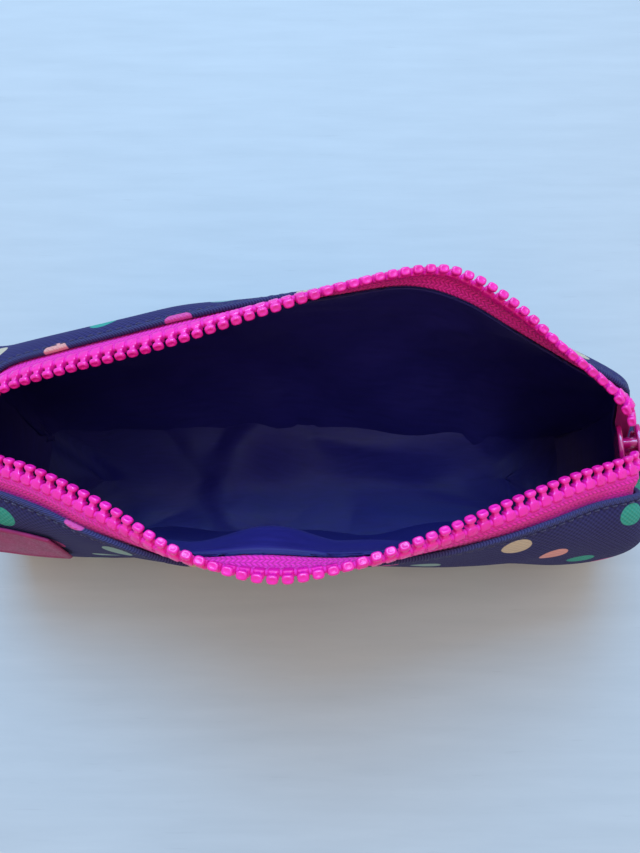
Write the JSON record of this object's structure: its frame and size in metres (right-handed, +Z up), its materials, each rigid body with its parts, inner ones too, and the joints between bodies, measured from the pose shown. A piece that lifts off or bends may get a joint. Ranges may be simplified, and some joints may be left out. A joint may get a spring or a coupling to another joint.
{
  "type": "makeup bag",
  "caption": "Soft boxed zip pouch for makeup, standing with its mouth open: printed canvas shell, loose satin lining, chunky moulded zip with a parked slider and pull.",
  "frame": {"origin": "centre of the base panel's underside", "axes": "+X along the zip to the end where the open slider parks, -Y to the front with the label patch, +Z up"},
  "size_m": [0.2254, 0.0832, 0.0953],
  "materials": {
    "canvas": "woven navy canvas with round multicoloured spots",
    "lining": "smooth navy lining with a soft sheen",
    "zip_tape": "ribbed woven tape, hot pink",
    "zip_teeth": "moulded, satin gloss, hot pink",
    "slider": "lacquered, dark magenta",
    "pull": "glossy hot pink",
    "patch": "soft moulded rubber, crimson pink, plain"
  },
  "bodies": {
    "bag": {"front_panel": "canvas", "back_panel": "canvas", "left_gusset": "canvas", "right_gusset": "canvas", "base_panel": "canvas", "lining_front": "lining", "lining_back": "lining", "lining_left_end": "lining", "lining_right_end": "lining", "lining_base": "lining", "front_zip_tape": "zip_tape", "back_zip_tape": "zip_tape", "front_tooth_row": "zip_teeth", "back_tooth_row": "zip_teeth", "zip_end_chain": "zip_teeth", "bottom_stop": "zip_teeth", "top_stop_front": "zip_teeth", "top_stop_back": "zip_teeth", "label_patch": "patch"},
    "slider": {"slider_body": "slider", "slider_crown": "slider"},
    "pull": {"pull_tab": "pull"}
  },
  "joints": [
    {"name": "slider_travel", "type": "hinge", "parent": "bag", "child": "slider", "pos_m": [-0.00156, 0, -0.03654], "axis": [0, -1, 0], "range_deg": [0, 78], "deforming": ["front_tooth_row", "back_tooth_row", "front_zip_tape", "back_zip_tape", "zip_end_chain"]},
    {"name": "pull_swing", "type": "hinge", "parent": "slider", "child": "pull", "pos_m": [0.0986, 0, 0.06768], "axis": [0, -1, 0], "range_deg": [0, 150]}
  ]
}
